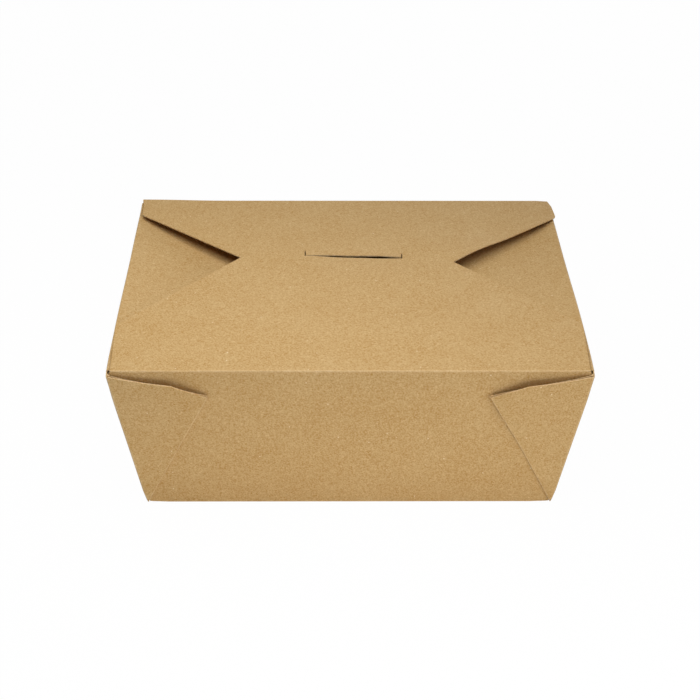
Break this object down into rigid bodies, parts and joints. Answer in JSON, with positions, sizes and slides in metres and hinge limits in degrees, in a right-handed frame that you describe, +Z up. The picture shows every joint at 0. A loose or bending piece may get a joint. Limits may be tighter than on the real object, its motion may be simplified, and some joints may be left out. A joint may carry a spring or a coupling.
{
  "type": "takeaway box",
  "caption": "Folded kraft paperboard takeaway box with sloping walls, webbed corners and a top closed by a tab flap tucked in a slit.",
  "frame": {"origin": "centre of the base, on the face that the box stands on", "axes": "+X along the long walls, +Y from the wall that carries the tab flap to the wall that carries the slit flap, +Z up"},
  "size_m": [0.1724, 0.1446, 0.064],
  "materials": {
    "kraft_board": "matte natural brown kraft board with fine fibres and specks"
  },
  "bodies": {
    "carton": {"carton": "kraft_board"},
    "tab_flap": {"tab_flap": "kraft_board"}
  },
  "joints": [
    {"name": "tab_flap_hinge", "type": "hinge", "parent": "carton", "child": "tab_flap", "pos_m": [0, -0.071, 0.063], "axis": [1, 0, 0], "range_deg": [0, 200]}
  ]
}
